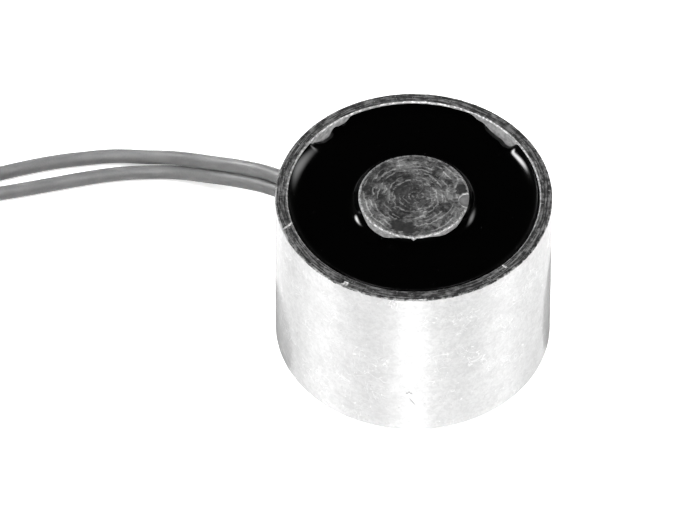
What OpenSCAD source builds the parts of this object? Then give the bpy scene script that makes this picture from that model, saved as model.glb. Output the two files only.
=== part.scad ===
// Holding electromagnet: a round steel pot and centre core with a potted coil between them.
// It stands on its base at z = 0 with its pole face up, and two leads leave its wall near the base.

/* [Pot] */
// Outer diameter of the pot
pot_d = 20; // [18:0.5:30]
// Height of the pot from its base to its pole face
pot_h = 15; // [13:0.5:24]
// Thickness of the side wall
wall_t = 0.9; // [0.7:0.05:1.4]
// Thickness of the base
base_t = 2.2; // [1.6:0.1:3]
// Chamfer round the foot of the pot
foot_chamfer = 0.8; // [0.3:0.1:1.2]
// Break on both edges of the rim
rim_break = 0.1; // [0.05:0.05:0.25]

/* [Core] */
// Diameter of the core at its pole face
core_d = 8; // [7:0.25:10]
// Break on the edge of the core's pole face
core_break = 0.15; // [0.05:0.05:0.4]
// Diameter of the spigot that goes through the base
spigot_d = 6; // [5.4:0.1:6.6]
// Flare of the spigot's end, where it is riveted over in the base
rivet_flare = 0.4; // [0.2:0.1:0.6]
// Drilled diameter of the tapped mounting hole
tap_d = 3.3; // [2.5:0.1:3.6]
// Full-diameter depth of the mounting hole
tap_depth = 6; // [4:0.5:8]
// Chamfer at the mouth of the mounting hole
tap_chamfer = 0.4; // [0.2:0.1:0.6]
// Diameter of the turning centre left in the pole face
pip_d = 0.6; // [0.3:0.1:1]
// Depth of the turning centre
pip_depth = 0.12; // [0.05:0.01:0.3]

/* [Bobbin] */
// Clearance between the core and the bobbin's tube
bobbin_clear = 0.1; // [0.05:0.05:0.2]
// Wall of the bobbin's tube
tube_wall = 0.6; // [0.4:0.05:0.9]
// Thickness of each flange
flange_t = 0.7; // [0.5:0.05:1]
// Gap between the flanges and the pot's wall
flange_gap = 0.2; // [0.1:0.05:0.3]
// Clearance all round the wire in the groove for the start of the winding
groove_clear = 0.1; // [0.05:0.05:0.15]

/* [Winding] */
// Diameter of the enamelled wire
wire_d = 0.2; // [0.1:0.05:0.3]
// Thickness of the tape wrapped round the winding
tape_t = 0.1; // [0.05:0.05:0.2]

/* [Potting] */
// Depth of the resin's level below the pole face
fill_drop = 0.95; // [0.5:0.05:1.5]
// Depth of the resin's edge below the pole face, where it climbs the steel
edge_drop = 0.3; // [0.15:0.05:0.45]
// Distance in which the climbing edge dies away
meniscus = 0.5; // [0.3:0.05:0.9]
// Depth of resin over the bobbin's upper flange
cover_t = 2; // [1.2:0.1:3]
// Depth of the resin inside the mouth of the lead hole
plug_drop = 0.15; // [0.1:0.05:0.3]

/* [Leads] */
// Diameter of each insulated lead
lead_d = 1.05; // [0.8:0.05:1.2]
// Diameter of the stranded conductor in a lead
strand_d = 0.5; // [0.3:0.05:0.6]
// Length of each bared and tinned end
bare_len = 4; // [3:0.5:5]
// Height of the lead hole's middle above the base
exit_z = 4.9; // [4.6:0.1:7]
// Bearing of the lead hole round the pot
exit_angle = 131; // [120:1:140]
// Clearance round the pair of leads in their hole
exit_clear = 0.2; // [0.1:0.05:0.3]
// Gap between the two leads in their hole
pair_gap = 0.01; // [0.01:0.01:0.05]
// Radius of each lead's bend inside the wall
bend_r = 1.2; // [1:0.1:1.6]
// Length of each lead run round the winding
tail_len = 4; // [3:0.5:6]
// Length of each soldered splice
splice_len = 2.4; // [1.5:0.1:3]
// Diameter of each soldered splice
splice_d = 0.7; // [0.4:0.05:0.75]
// Length of the sleeve over each splice
sleeve_len = 5.2; // [4.8:0.1:6]
// Length of sleeve that laps each lead's insulation
sleeve_lap = 1.5; // [1:0.1:2]
// Wall of each sleeve
sleeve_wall = 0.1; // [0.05:0.05:0.15]
// Clearance round leads, sleeves and wires
lead_clear = 0.03; // [0.02:0.01:0.06]

/* [Lead coil] */
// Radius of the outer turn of the wound-up leads
coil_r = 8.3; // [8:0.1:9]
// Turns of each wound-up lead
coil_turns = 4.25; // [4:0.25:4.5]
// Width of the tie round the coil
tie_w = 1.8; // [1:0.1:3]
// Thickness of the tie
tie_t = 0.2; // [0.1:0.05:0.4]
// Clearance between the tie and the coil
tie_clear = 0.05; // [0.02:0.01:0.1]
// Diameter of the tie's twisted ends
twist_d = 1; // [0.6:0.1:1.4]
// Length of the tie's twisted ends
twist_len = 5; // [3:0.5:8]

/* [Hidden] */
$fn = 96;

pot_r = pot_d / 2;
bore_r = pot_r - wall_t;
core_r = core_d / 2;
spigot_r = spigot_d / 2;
tap_r = tap_d / 2;
// A standard drill leaves a cone of this angle at the bottom of its hole
drill_angle = 118;
// Overlap that lets a cut pass its face, or fuses two shapes of one piece
past = 0.2;

tube_in = core_r + bobbin_clear;
tube_out = tube_in + tube_wall;
flange_r = bore_r - flange_gap;
floor_z = base_t + flange_t;
bobbin_top = pot_h - fill_drop - cover_t;
roof_z = bobbin_top - flange_t;

sleeve_d = lead_d + 2 * (lead_clear + sleeve_wall);
tape_r = bore_r - sleeve_d - 2 * lead_clear;
winding_r = tape_r - tape_t;
run_r = (tape_r + bore_r) / 2;

exit_d = 2 * lead_d + pair_gap + 2 * exit_clear;
exit_len = 1.5;
pair_pitch = lead_d + pair_gap;
// The leads lie one over the other in their hole, and turn opposite ways inside it
lead_z = [exit_z - pair_pitch / 2, exit_z + pair_pitch / 2];
lead_turn = [-1, 1];

// The bend joins the radial lead hole to the run round the winding
bend_mid = sqrt((run_r + bend_r) ^ 2 - bend_r ^ 2);
bend_end = asin(bend_r / (run_r + bend_r));
bend_sweep = 90 - bend_end;
tail_end = bend_end + arc_angle(tail_len, run_r);
splice_end = tail_end + arc_angle(splice_len, run_r);
sleeve_start = tail_end - arc_angle(sleeve_lap, run_r);
sleeve_end = sleeve_start + arc_angle(sleeve_len, run_r);
wire_end = sleeve_end + arc_angle(wire_d * 4, run_r);
groove_z = floor_z - groove_clear - wire_d / 2;
wire_bend_r = 0.75 * wire_d;

// Both leads lie on the surface that the magnet stands on, and end in a coil there
coil_at = [-40.5, 3];
coil_lift = tie_t + tie_clear;
coil_in = coil_r - coil_turns * pair_pitch - lead_d / 2;
coil_out = coil_r + lead_d / 2;
coil_h = lead_d + pair_pitch;
end_r = coil_in - strand_d / 2 - 2 * tie_clear;
end_angle = 190;
tie_angle = 20;

route_1 = [[-8.55, 9.5, 4.1], [-10.5, 11.2, 3.3], [-12.75, 12.9, 2.15], [-15.1, 14.2, 1.2],
    [-17.4, 15, 0.7], [-19.7, 15.15, 0.55], [-22, 14.95, 0.55], [-24.3, 14.5, 0.55],
    [-26.6, 13.95, 0.55], [-28.9, 13.4, 0.55], [-31.2, 12.9, 0.55], [-33.5, 12.45, 0.6],
    [-35.6, 12.1, 0.65], [-37.2, 11.9, 0.7]];
route_2 = [[-8.4, 9.65, 5.2], [-10.25, 11.55, 4.35], [-12.5, 13.3, 3.2], [-14.9, 14.65, 2.2],
    [-17.25, 15.55, 1.65], [-19.7, 16.3, 0.95], [-22, 16.7, 0.6], [-24.3, 16.5, 0.55],
    [-26.6, 16.1, 0.55], [-28.9, 15.5, 0.55], [-31.2, 14.75, 0.6], [-33.6, 13.95, 0.75],
    [-36, 13.2, 1.15], [-38.2, 12.45, 1.6]];
lead_sides = 8;

function arc_angle(length, radius) = length / radius * 180 / PI;
function polar(radius, angle, z) = [radius * cos(angle), radius * sin(angle), z];
function unit(v) = v / norm(v);

// Height of the resin at a radius, which climbs the bore and the core
function resin_z(r) = pot_h - fill_drop
    + (fill_drop - edge_drop) * (exp((r - bore_r) / meniscus) + exp((core_r - r) / meniscus));

// A rounded bar's section, centred on the origin
function rounded_bar(w, h, r, steps = 6) = [
    for (corner = [0 : 3], i = [0 : steps])
        let (a = 90 * (corner + i / steps),
            sx = (corner == 0 || corner == 3) ? 1 : -1,
            sy = corner < 2 ? 1 : -1)
        [sx * (w / 2 - r) + r * cos(a), sy * (h / 2 - r) + r * sin(a)]];

// A point beside the lead hole, from its distance out and its distance along the wall
function beside_exit(out, along, z) = [out * cos(exit_angle) - along * sin(exit_angle),
    out * sin(exit_angle) + along * cos(exit_angle), z];

// A lead's line from its splice, round the winding and out through the wall
function inner_line(turn, z, run_steps = 4, bend_steps = 5) = concat(
    [for (i = [0 : run_steps])
        polar(run_r, exit_angle + turn * (tail_end + (bend_end - tail_end) * i / run_steps), z)],
    [for (i = [1 : bend_steps])
        let (a = 180 + bend_end + bend_sweep * i / bend_steps)
        beside_exit(bend_mid + bend_r * cos(a), turn * bend_r * (1 + sin(a)), z)],
    [polar(pot_r + exit_len, exit_angle, z)]);

// Direction of a line at one of its points
function along(line, i) = unit(line[min(i + 1, len(line) - 1)] - line[max(i - 1, 0)]);

// A ring of points square to a line at one of its points
function tube_ring(line, i, r) =
    let (t = along(line, i), side = unit(cross([0, 0, 1], t)), up = cross(t, side))
    [for (k = [0 : lead_sides - 1])
        let (a = 360 * (k + 0.5) / lead_sides)
        line[i] + r * (cos(a) * side + sin(a) * up)];

// A closed tube swept along a line
module tube(line, d) {
    last = (len(line) - 1) * lead_sides;
    points = [for (i = [0 : len(line) - 1]) each tube_ring(line, i, d / 2)];
    walls = [for (i = [0 : len(line) - 2], k = [0 : lead_sides - 1])
        let (n = (k + 1) % lead_sides, a = i * lead_sides, b = a + lead_sides)
        each [[a + k, b + k, b + n], [a + k, b + n, a + n]]];
    first_cap = [for (k = [0 : lead_sides - 1]) k];
    last_cap = [for (k = [lead_sides - 1 : -1 : 0]) last + k];
    polyhedron(points, concat(walls, [first_cap, last_cap]));
}

// A round bar that points straight out from the axis
module spoke(r_from, r_to, d, z, angle) {
    rotate([0, 0, angle]) translate([r_from, 0, z]) rotate([0, 90, 0]) cylinder(h = r_to - r_from, d = d);
}

// A bar of round section run round the axis beside the lead hole, on one side of it
module run(turn, z, a_from, a_to, d) {
    start = exit_angle + (turn > 0 ? a_from : -a_to);
    rotate([0, 0, start]) rotate_extrude(angle = a_to - a_from) translate([run_r, z]) circle(d = d);
}

// The room that a lead takes up inside the wall, up to the end of its sleeve
module lead_room(k) {
    room_d = lead_d + 2 * lead_clear;
    spoke(bend_mid, pot_r + past, room_d, lead_z[k], exit_angle);
    bend_start = lead_turn[k] > 0 ? 180 + bend_end : 90;
    rotate([0, 0, exit_angle]) translate([bend_mid, lead_turn[k] * bend_r, lead_z[k]])
        rotate([0, 0, bend_start]) rotate_extrude(angle = bend_sweep) translate([bend_r, 0]) circle(d = room_d);
    run(lead_turn[k], lead_z[k], bend_end, sleeve_start, room_d);
    run(lead_turn[k], lead_z[k], sleeve_start, sleeve_end, sleeve_d);
}

// A quarter bend in the winding's wire, in the plane of its own X and Y, a little thicker than the wire
module wire_bend(start) {
    lap = 2;
    rotate([0, 0, start - lap]) rotate_extrude(angle = 90 + 2 * lap)
        translate([wire_bend_r, 0]) circle(d = wire_d + lead_clear);
}

// The start of the winding, which runs out along a groove in the lower flange and up to its splice
module start_wire() {
    inner_r = tube_out + wire_d;
    low_z = groove_z + wire_bend_r;
    high_z = lead_z[0] - wire_bend_r;
    run(lead_turn[0], lead_z[0], splice_end, wire_end, wire_d);
    rotate([0, 0, exit_angle + lead_turn[0] * wire_end]) {
        translate([run_r, 0, high_z]) rotate([90, 0, 90]) wire_bend(lead_turn[0] > 0 ? 0 : 90);
        translate([0, lead_turn[0] * wire_bend_r, 0]) {
            translate([run_r, 0, low_z]) cylinder(h = high_z - low_z, d = wire_d);
            translate([run_r - wire_bend_r, 0, low_z]) rotate([90, 0, 0]) wire_bend(270);
            spoke(inner_r + wire_bend_r, run_r - wire_bend_r, wire_d, groove_z, 0);
            translate([inner_r + wire_bend_r, 0, low_z]) rotate([90, 0, 0]) wire_bend(180);
            translate([inner_r, 0, low_z]) cylinder(h = floor_z + past - low_z, d = wire_d);
        }
    }
}

// The finish of the winding, which comes out through the tape to its splice
module finish_wire() {
    run(lead_turn[1], lead_z[1], splice_end, wire_end, wire_d);
    rotate([0, 0, exit_angle + lead_turn[1] * wire_end]) {
        translate([run_r - wire_bend_r, 0, lead_z[1]]) wire_bend(lead_turn[1] > 0 ? 0 : 270);
        translate([0, lead_turn[1] * wire_bend_r, 0])
            spoke(winding_r - past, run_r - wire_bend_r, wire_d, lead_z[1], 0);
    }
}

module pot() color("gainsboro") difference() {
    rotate_extrude() polygon([
        [spigot_r + rivet_flare, 0],
        [pot_r - foot_chamfer, 0],
        [pot_r, foot_chamfer],
        [pot_r, pot_h - rim_break],
        [pot_r - rim_break, pot_h],
        [bore_r + rim_break, pot_h],
        [bore_r, pot_h - rim_break],
        [bore_r, base_t],
        [spigot_r, base_t],
        [spigot_r, rivet_flare]]);
    spoke(bore_r - past, pot_r + past, exit_d, exit_z, exit_angle);
}

module core() color("dimgray") rotate_extrude() polygon([
    [tap_r + tap_chamfer, 0],
    [spigot_r + rivet_flare, 0],
    [spigot_r, rivet_flare],
    [spigot_r, base_t],
    [core_r, base_t],
    [core_r, pot_h - core_break],
    [core_r - core_break, pot_h],
    [pip_d / 2, pot_h],
    [0, pot_h - pip_depth],
    [0, tap_depth + tap_r / tan(drill_angle / 2)],
    [tap_r, tap_depth],
    [tap_r, tap_chamfer]]);

module bobbin() color("ivory") difference() {
    rotate_extrude() polygon([
        [tube_in, base_t],
        [flange_r, base_t],
        [flange_r, floor_z],
        [tube_out, floor_z],
        [tube_out, roof_z],
        [flange_r, roof_z],
        [flange_r, bobbin_top],
        [tube_in, bobbin_top]]);
    groove_w = wire_d + 2 * groove_clear;
    rotate([0, 0, exit_angle + lead_turn[0] * wire_end])
        translate([tube_out, lead_turn[0] * wire_bend_r - groove_w / 2, floor_z - groove_w])
        cube([flange_r - tube_out + past, groove_w, groove_w + past]);
}

module winding() color("peru") {
    rotate_extrude() polygon([
        [tube_out, floor_z],
        [winding_r, floor_z],
        [winding_r, roof_z],
        [tube_out, roof_z]]);
    start_wire();
    finish_wire();
}

module winding_tape() color("khaki") difference() {
    rotate_extrude() polygon([
        [winding_r, floor_z],
        [tape_r, floor_z],
        [tape_r, roof_z],
        [winding_r, roof_z]]);
    finish_wire();
}

module splice(k) color("silver") difference() {
    run(lead_turn[k], lead_z[k], tail_end + arc_angle(lead_clear, run_r),
        splice_end + arc_angle(wire_d, run_r), splice_d);
    run(lead_turn[k], lead_z[k], splice_end, wire_end, wire_d);
}

module splice_sleeve(k) color("white") rotate([0, 0, exit_angle + (lead_turn[k] > 0 ? sleeve_start : -sleeve_end)])
    rotate_extrude(angle = sleeve_end - sleeve_start) translate([run_r, lead_z[k]]) difference() {
        circle(d = sleeve_d);
        circle(d = sleeve_d - 2 * sleeve_wall);
    }

// The resin is poured from the pole face, fills the pot round the coil and sets in the lead hole too
module potting() color("black") difference() {
    surface_steps = 40;
    union() {
        rotate_extrude() polygon(concat(
            [[flange_r, base_t], [bore_r, base_t]],
            [for (i = [0 : surface_steps])
                let (r = (bore_r + core_r) / 2 + (bore_r - core_r) / 2 * cos(180 * i / surface_steps))
                [r, resin_z(r)]],
            [[core_r, bobbin_top], [flange_r, bobbin_top], [flange_r, roof_z], [tape_r, roof_z],
                [tape_r, floor_z], [flange_r, floor_z]]));
        spoke(run_r, pot_r - plug_drop, exit_d, exit_z, exit_angle);
    }
    for (k = [0, 1]) lead_room(k);
    start_wire();
    finish_wire();
}

module lead(k, route) color("gray") tube(concat(inner_line(lead_turn[k], lead_z[k]), route), lead_d);

// The outer shape of the turns of both leads, which lie in two layers
module lead_coil() color("gray") translate([coil_at.x, coil_at.y, coil_lift + coil_h / 2])
    rotate_extrude() translate([(coil_in + coil_out) / 2, 0])
    polygon(rounded_bar(coil_out - coil_in, coil_h, lead_d / 2));

// A lead's tinned end, which keeps the curve of the coil inside the innermost turn
module bare_end(k) color("silver")
    translate([coil_at.x, coil_at.y, coil_lift + lead_d / 2 + k * (strand_d + tie_clear)])
    rotate([0, 0, end_angle]) rotate_extrude(angle = arc_angle(bare_len, end_r))
    translate([end_r, 0]) circle(d = strand_d);

// A strip tie round the coil, with its two ends twisted together on top
module coil_tie() color("black") translate([coil_at.x, coil_at.y, 0]) rotate([0, 0, tie_angle]) {
    loop_in = sqrt(coil_in ^ 2 - (tie_w / 2) ^ 2) - tie_clear;
    loop_out = coil_out + tie_clear;
    loop_w = loop_out - loop_in;
    loop_h = coil_h + 2 * tie_clear;
    loop_r = lead_d / 2;
    loop_x = (loop_in + loop_out) / 2;
    translate([loop_x, 0, coil_lift + coil_h / 2]) rotate([90, 0, 0])
        linear_extrude(height = tie_w, center = true) difference() {
            polygon(rounded_bar(loop_w + 2 * tie_t, loop_h + 2 * tie_t, loop_r + tie_t));
            polygon(rounded_bar(loop_w, loop_h, loop_r));
        }
    translate([loop_x, -tie_w / 2, coil_lift + coil_h + tie_clear + twist_d / 2])
        rotate([-90, 0, 0]) cylinder(h = twist_len, d = twist_d);
}

pot();
core();
bobbin();
winding();
winding_tape();
splice(0);  // splice_1
splice(1);  // splice_2
splice_sleeve(0);  // splice_sleeve_1
splice_sleeve(1);  // splice_sleeve_2
potting();
lead(0, route_1);  // lead_1
lead(1, route_2);  // lead_2
lead_coil();
bare_end(0);  // bare_end_1
bare_end(1);  // bare_end_2
coil_tie();
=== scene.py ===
"""Looks of a potted holding electromagnet: a plated pot, a turned core, black resin and two coiled leads."""

import math

import bpy
from bpy.props import FloatProperty, FloatVectorProperty, IntProperty, PointerProperty
from mathutils import Euler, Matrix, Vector


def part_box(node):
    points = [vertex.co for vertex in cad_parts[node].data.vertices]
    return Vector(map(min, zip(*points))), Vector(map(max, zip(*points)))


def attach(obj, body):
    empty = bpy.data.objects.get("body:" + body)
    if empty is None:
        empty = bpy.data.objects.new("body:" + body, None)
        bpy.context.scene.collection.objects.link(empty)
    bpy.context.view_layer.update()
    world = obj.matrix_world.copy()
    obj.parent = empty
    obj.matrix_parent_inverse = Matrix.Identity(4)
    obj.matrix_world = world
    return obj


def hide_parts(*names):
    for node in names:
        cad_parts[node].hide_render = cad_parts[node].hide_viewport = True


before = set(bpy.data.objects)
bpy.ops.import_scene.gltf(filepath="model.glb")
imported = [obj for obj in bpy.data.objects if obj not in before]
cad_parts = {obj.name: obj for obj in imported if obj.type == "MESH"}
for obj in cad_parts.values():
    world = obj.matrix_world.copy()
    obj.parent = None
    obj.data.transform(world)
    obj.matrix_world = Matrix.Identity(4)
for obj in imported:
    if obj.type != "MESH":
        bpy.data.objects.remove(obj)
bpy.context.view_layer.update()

bl_info = {
    "name": "Holding electromagnet",
    "version": (1, 0, 0),
    "blender": (4, 5, 0),
    "location": "3D View > Sidebar > Magnet",
    "description": "Builds the finished pieces of a potted holding electromagnet in its packed frame",
    "category": "Object",
}

MM = 0.001
# Two points this near count as one, and a point this near to a face counts as lying on it
HAIR = 0.001 * MM
NEAR = 0.01 * MM
# Slack, depth and width of the bands that tell the faces of an edge from those beside it
SLACK = 0.02 * MM
EDGE_DEPTH = 0.12 * MM
EDGE_WIDTH = 0.15 * MM
# Rounding of the turned pieces' corners
CORNER = 0.03 * MM
# Point angle of a drill, in degrees
DRILL_POINT = 118
BODY = "root"
# Groups of pieces that some lights are kept for
STEEL = "steel_pieces"
RESIN = "resin_pieces"
LEADS = "lead_pieces"

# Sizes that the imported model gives
POT_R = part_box("pot")[1].x
POT_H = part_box("pot")[1].z
BORE_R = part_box("potting")[1].x
CORE_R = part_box("core")[1].x
BASE_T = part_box("bobbin")[0].z
BOBBIN_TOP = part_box("bobbin")[1].z
FLANGE_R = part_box("bobbin")[1].x
TAPE_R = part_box("winding_tape")[1].x
FLOOR_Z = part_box("winding_tape")[0].z
ROOF_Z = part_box("winding_tape")[1].z
COIL_LOW, COIL_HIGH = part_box("lead_coil")
COIL_AT = (COIL_LOW + COIL_HIGH) / 2

# Bearings are in degrees round the axis, from +X towards +Y
EXIT_BEARING = 131
# Nicks in the rim: bearing, radius and length, width, depth, and turn away from the radius
RIM_NICKS = ((197.7, 9.5 * MM, 1.6 * MM, 0.17 * MM, 0.065 * MM, 27),
             (-46.3, 9.3 * MM, 0.5 * MM, 0.15 * MM, 0.055 * MM, 12))
# Dents and burrs on the rim's outer edge: bearing, outward move, upward move and reach
RIM_BURRS = ((239.5, -0.14 * MM, -0.24 * MM, 0.28 * MM), (235, 0.08 * MM, -0.05 * MM, 0.3 * MM),
             (226, 0.05 * MM, -0.03 * MM, 0.2 * MM), (247, -0.06 * MM, -0.05 * MM, 0.22 * MM),
             (252, 0.05 * MM, -0.06 * MM, 0.2 * MM), (259, 0.04 * MM, -0.07 * MM, 0.2 * MM),
             (271, -0.05 * MM, -0.06 * MM, 0.25 * MM), (286, 0.05 * MM, -0.04 * MM, 0.2 * MM),
             (305, -0.05 * MM, -0.05 * MM, 0.22 * MM), (330, 0.04 * MM, -0.03 * MM, 0.2 * MM))
# Places where the resin lies low on the bore: bearing, half width, share of its climb that is missing
BORE_DIPS = ((135, 7.5, 1.25), (125, 6, 0.6), (142, 3.5, 0.4),
             (45, 12, 1.2), (56, 7.5, 0.45), (40, 5, 0.35))
# Where the resin's edge on the bore is broad: bearing and half width
LEFT_BROAD = (162, 50)
# Places where it lies low on the core
CORE_DIPS = ((227, 32, 0.7), (312, 27, 0.42))
# Dull places on the resin, where it tore: place and reach
RESIN_DULL = (((-1.94 * MM, -3.5 * MM, 14.2 * MM), 0.8 * MM),
              ((-5.4 * MM, 6.9 * MM, 14.4 * MM), 0.6 * MM))
# The chip in the pole face's edge: the scoop's radius, and the radius, bearing and height of its middle
CHIP_R = 0.9 * MM
CHIP_AT = (3.9 * MM, -6, POT_H + 0.6 * MM)
# Depth of the bright lip round the chip
CHIP_LIP = 0.08 * MM
# Radius of the bright groove round the middle of the pole face
GROOVE_R = 1.55 * MM
# The small burr on the pole face's edge: bearing, outward move and reach
CORE_BURR = (270, 0.2 * MM, 0.18 * MM)
# Dark marks on the pot's front, three pits and a scratch: across, height, lean, half width and half length
SIDE_MARKS = ((-0.48 * MM, 4.78 * MM, 0, 0.1 * MM, 0.1 * MM),
              (-0.33 * MM, 4.9 * MM, 0, 0.1 * MM, 0.1 * MM),
              (-0.18 * MM, 4.78 * MM, 0, 0.1 * MM, 0.1 * MM),
              (-0.09 * MM, 3.86 * MM, -30, 0.05 * MM, 0.5 * MM))
# Stains on the pole face, and a painted highlight on the pip in its middle: place, reach and share of the
# tone that is left
CORE_STAINS_AND_PIP_HIGHLIGHT = (((3.45 * MM, 0.6 * MM, POT_H), 0.5 * MM, 0.1),
               ((-1.15 * MM, -2.85 * MM, POT_H), 0.65 * MM, 0.1),
               ((-0.35 * MM, -3.1 * MM, POT_H), 0.7 * MM, 0.1),
               ((-0.3 * MM, 0.3 * MM, POT_H), 1.3 * MM, 0.55),
               # the last entry triples the tone at the pip, a painted highlight
               ((-0.14 * MM, -0.04 * MM, POT_H), 0.25 * MM, 3))

# Pools of shade in the floor that the pot's side mirrors: place and radius, and half the width of their edge
FLOOR_SHADE = (((-0.8 * POT_R, 0.09 * POT_R, 0), 0.52 * POT_R),
               ((0.72 * POT_R, 0.37 * POT_R, 0), 0.62 * POT_R))
SHADE_EDGE = 0.03 * POT_R

# Each lead's route over the table, repeated from the part's source, in metres
ROUTE_1 = ((-0.00855, 0.0095, 0.0041), (-0.0105, 0.0112, 0.0033), (-0.01275, 0.0129, 0.00215),
           (-0.0151, 0.0142, 0.0012), (-0.0174, 0.015, 0.0007), (-0.0197, 0.01515, 0.00055),
           (-0.022, 0.01495, 0.00055), (-0.0243, 0.0145, 0.00055), (-0.0266, 0.01395, 0.00055),
           (-0.0289, 0.0134, 0.00055), (-0.0312, 0.0129, 0.00055), (-0.0335, 0.01245, 0.0006),
           (-0.0356, 0.0121, 0.00065), (-0.0372, 0.0119, 0.0007))
ROUTE_2 = ((-0.0084, 0.00965, 0.0052), (-0.01025, 0.01155, 0.00435), (-0.0125, 0.0133, 0.0032),
           (-0.0149, 0.01465, 0.0022), (-0.01725, 0.01555, 0.00165), (-0.0197, 0.0163, 0.00095),
           (-0.022, 0.0167, 0.0006), (-0.0243, 0.0165, 0.00055), (-0.0266, 0.0161, 0.00055),
           (-0.0289, 0.0155, 0.00055), (-0.0312, 0.01475, 0.0006), (-0.0336, 0.01395, 0.00075),
           (-0.036, 0.0132, 0.00115), (-0.0382, 0.01245, 0.0016))


def length(name, description, default):
    """A length that a user would change, in metres."""
    return FloatProperty(name=name, description=description, default=default, unit="LENGTH", precision=5)


def colour(name, description, default):
    """A colour that a user would change."""
    return FloatVectorProperty(
        name=name, description=description, default=default, size=4, subtype="COLOR", min=0, max=1)


def angle(name, description, degrees):
    """An angle that a user would change, in radians."""
    return FloatProperty(name=name, description=description, default=math.radians(degrees), subtype="ANGLE")


def number(name, description, default, subtype="NONE"):
    """A plain number that a user would change."""
    return FloatProperty(name=name, description=description, default=default, subtype=subtype)


def whole(name, description, default, subtype="NONE"):
    """A whole number that a user would change."""
    return IntProperty(name=name, description=description, default=default, subtype=subtype)


def grey(value):
    """A neutral colour."""
    return (value, value, value, 1)


def dimmed(tint, share):
    """A colour at a share of its brightness."""
    return [c * share for c in tint[:3]] + [1]


class PotSettings(bpy.types.PropertyGroup):
    """Sizes and finish of the pot."""

    steps: whole("Steps", "Faces round the pot", 480)
    rim_break: length("Rim break", "Break on both edges of the rim", 0.1 * MM)
    foot_chamfer: length("Foot chamfer", "Chamfer round the foot", 0.8 * MM)
    spigot_r: length("Spigot radius", "Radius of the hole for the core's spigot", 3 * MM)
    rivet_flare: length("Rivet flare", "Flare of that hole under the riveted spigot", 0.4 * MM)
    exit_d: length("Lead hole", "Diameter of the lead hole", 2.51 * MM)
    exit_z: length("Lead hole height", "Height of the lead hole's middle", 4.9 * MM)
    ragged: length("Ragged edge", "Unevenness of the rim's outer edge", 0.018 * MM)
    plate: colour("Plating", "Bright zinc plating", grey(0.845))
    plate_dark: colour("Plating shade", "Cloudy parts of the plating", grey(0.68))
    faced: colour("Rim face", "Faced steel of the rim", grey(0.6))
    bore: colour("Bore", "Dull plating inside the pot", grey(0.62))


class CoreSettings(bpy.types.PropertyGroup):
    """Sizes and finish of the core."""

    steps: whole("Steps", "Faces round the core", 240)
    edge_break: length("Edge break", "Break on the pole face's edge", 0.1 * MM)
    pip_r: length("Pip radius", "Radius of the turning centre", 0.3 * MM)
    pip_depth: length("Pip depth", "Depth of the turning centre", 0.12 * MM)
    drill_r: length("Drill radius", "Radius of the drilled hole in the back", 1.65 * MM)
    drill_depth: length("Drill depth", "Full depth of the drilled hole", 6 * MM)
    thread_r: length("Thread radius", "Outer radius of the thread in the back", 2 * MM)
    thread_depth: length("Thread depth", "Depth of the tapped thread", 5.2 * MM)
    thread_pitch: length("Thread pitch", "Pitch of the thread", 0.7 * MM)
    mouth: length("Mouth", "Chamfer at the hole's mouth", 0.4 * MM)
    steel: colour("Steel", "Turned steel of the pole face", grey(0.95))
    smut: colour("Smut", "Dark film on the pole face", grey(0.08))


class ResinSettings(bpy.types.PropertyGroup):
    """Sizes and finish of the potting."""

    steps: whole("Steps", "Faces round the resin", 480)
    rows: whole("Rows", "Faces across the resin", 64)
    level_drop: length("Level", "Depth of the resin below the pole face", 0.95 * MM)
    bore_drop: length("Bore edge", "Depth of its edge below the rim", 0.15 * MM)
    core_drop: length("Core edge", "Depth of its edge below the core's face", 0.13 * MM)
    meniscus: length("Meniscus", "Distance in which its edge on the bore dies away", 0.5 * MM)
    core_meniscus: length("Core meniscus", "Distance in which its edge on the core dies away", 0.36 * MM)
    broad: length("Broad edge", "Extra width of its edge on the left", 0.3 * MM)
    tear: length("Tear", "Distance in which a gap in its edge dies away", 0.27 * MM)
    plug_drop: length("Plug", "Depth of the resin inside the lead hole", 0.15 * MM)
    black: colour("Resin", "Black potting resin", grey(0.0003))


class LeadSettings(bpy.types.PropertyGroup):
    """Sizes and finish of the leads."""

    diameter: length("Diameter", "Diameter of the insulation", 1.05 * MM)
    pitch: length("Pitch", "Distance between two leads side by side", 1.06 * MM)
    lead_length: length("Length", "Length of each lead from its splice to its tip", 206 * MM)
    bend_r: length("Bend", "Radius of the bend inside the wall", 1.2 * MM)
    tail: length("Tail", "Length run round the winding", 4 * MM)
    exit_run: length("Exit run", "Straight run outside the wall", 1.5 * MM)
    coil_r: length("Coil radius", "Radius of the coil's outer turn", 8.3 * MM)
    turns: number("Turns", "Turns of each lead in the coil", 4.25)
    strand_d: length("Conductor", "Diameter of the stranded conductor", 0.5 * MM)
    bare: length("Bare end", "Length of each stripped end", 4 * MM)
    end_r: length("End radius", "Radius at which the stripped ends lie in the coil", 2.92 * MM)
    insulation: colour("Insulation", "Grey insulation", grey(0.085))
    tinned: colour("Strands", "Tinned copper strands", (0.78, 0.76, 0.73, 1))


class TieSettings(bpy.types.PropertyGroup):
    """Sizes and finish of the tie round the coil."""

    width: length("Width", "Width of the strip", 1.8 * MM)
    thickness: length("Thickness", "Thickness of the strip", 0.2 * MM)
    rib: length("Rib", "Height of the rib over the wire in the strip", 0.14 * MM)
    clear: length("Clearance", "Clearance between the strip and the coil", 0.05 * MM)
    twist_d: length("Twist", "Diameter of the twisted ends", 1 * MM)
    twist_len: length("Twist length", "Length of the twisted ends", 5 * MM)
    bearing: angle("Bearing", "Place of the tie round the coil", 20)
    strip: colour("Strip", "Black plastic strip", grey(0.02))


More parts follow.
